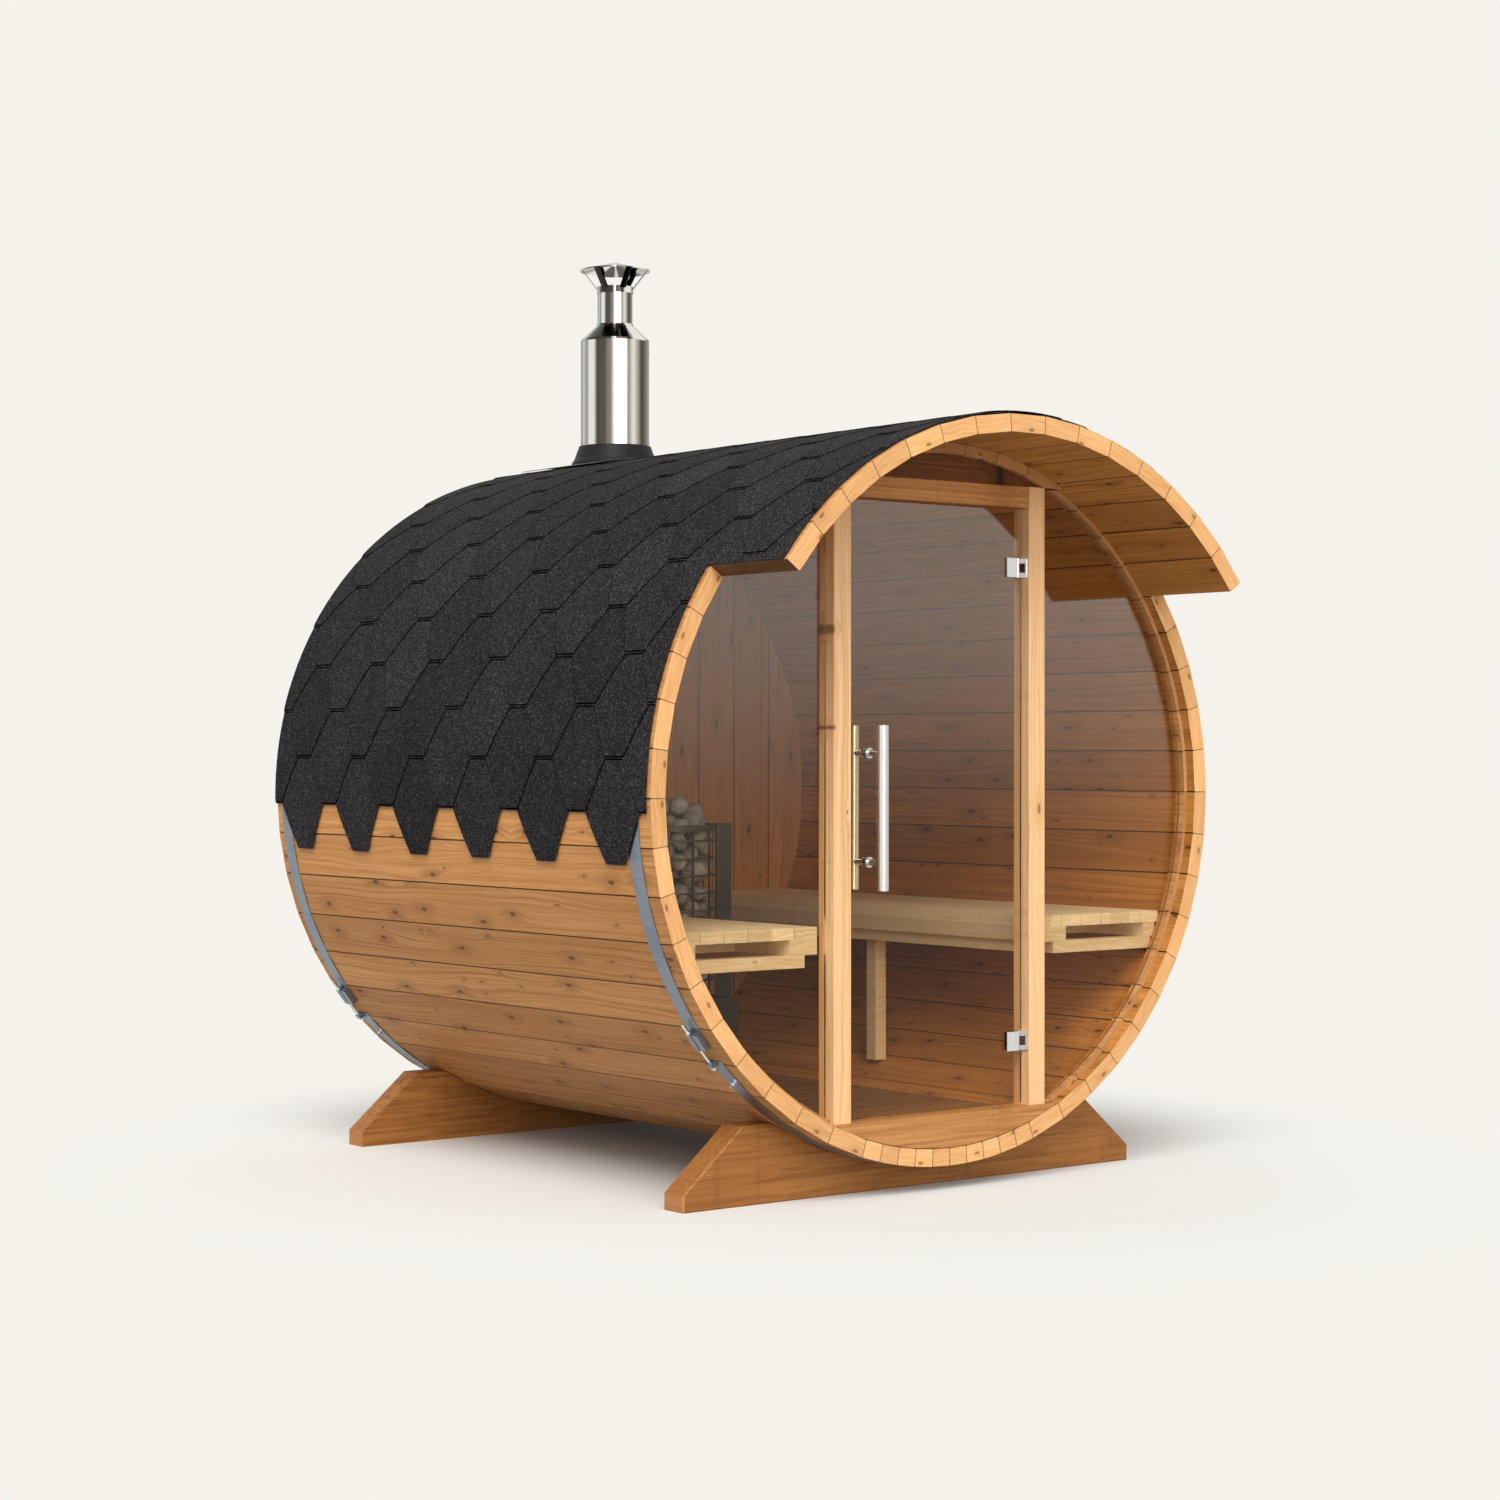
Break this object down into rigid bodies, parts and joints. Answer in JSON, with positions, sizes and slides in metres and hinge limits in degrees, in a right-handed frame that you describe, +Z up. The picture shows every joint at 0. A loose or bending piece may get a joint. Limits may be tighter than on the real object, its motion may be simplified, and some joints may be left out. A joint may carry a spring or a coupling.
{
  "type": "barrel sauna",
  "caption": "Horizontal wooden barrel sauna on two cradles with shingle roof, front canopy, glass front with hinged glass door, benches, stone heater and chimney.",
  "frame": {"origin": "on the ground in the middle of the whole length, under the barrel's axis", "axes": "+X to the right seen from the front, +Y from the glass front to the back, +Z up"},
  "size_m": [1.9816, 2.159, 2.654],
  "materials": {
    "stave_wood": "satin",
    "frame_wood": "satin",
    "cradle_wood": "satin",
    "inner_wood": "matte",
    "bench_wood": "matte",
    "roofing": "matte",
    "band_steel": "satin",
    "glass": "gloss",
    "door_fittings": "polished",
    "handle_steel": "satin",
    "heater_steel": "satin",
    "stones": "matte",
    "chimney_steel": "satin",
    "boot_rubber": "matte",
    "apron_metal": "matte"
  },
  "bodies": {
    "house": {"staves_roof_left": "stave_wood", "staves_roof_crown": "stave_wood", "staves_roof_right": "stave_wood", "staves_left": "stave_wood", "staves_right": "stave_wood", "staves_bottom": "stave_wood", "post_left": "frame_wood", "post_right": "frame_wood", "lintel": "frame_wood", "sill": "frame_wood", "gable_board": "frame_wood", "front_beads": "frame_wood", "cradle_front": "cradle_wood", "cradle_rear": "cradle_wood", "back_wall": "inner_wood", "floor_slats": "inner_wood", "floor_joists": "inner_wood", "bench_left_slats": "bench_wood", "bench_right_slats": "bench_wood", "bench_left_frame": "bench_wood", "bench_right_frame": "bench_wood", "cover_left": "roofing", "cover_crown": "roofing", "cover_right": "roofing", "band_front": "band_steel", "band_rear": "band_steel", "band_bolts": "band_steel", "glass_left": "glass", "glass_right": "glass", "frame_hinge_plates": "door_fittings", "heater_firebox": "heater_steel", "heater_basket": "heater_steel", "heater_guard": "heater_steel", "heater_stones": "stones", "flue_pipe": "chimney_steel", "chimney_jacket": "chimney_steel", "chimney_cone": "chimney_steel", "chimney_cap": "chimney_steel", "chimney_boot": "boot_rubber", "chimney_apron": "apron_metal"},
    "door": {"door_glass": "glass", "door_hinge_clamps": "door_fittings", "door_handle_outer": "handle_steel", "door_handle_inner": "handle_steel"}
  },
  "joints": [
    {"name": "door_hinge", "type": "hinge", "parent": "house", "child": "door", "pos_m": [0.282, -0.7385, 1.0115], "axis": [0, 0, 1], "range_deg": [0, 90]}
  ]
}
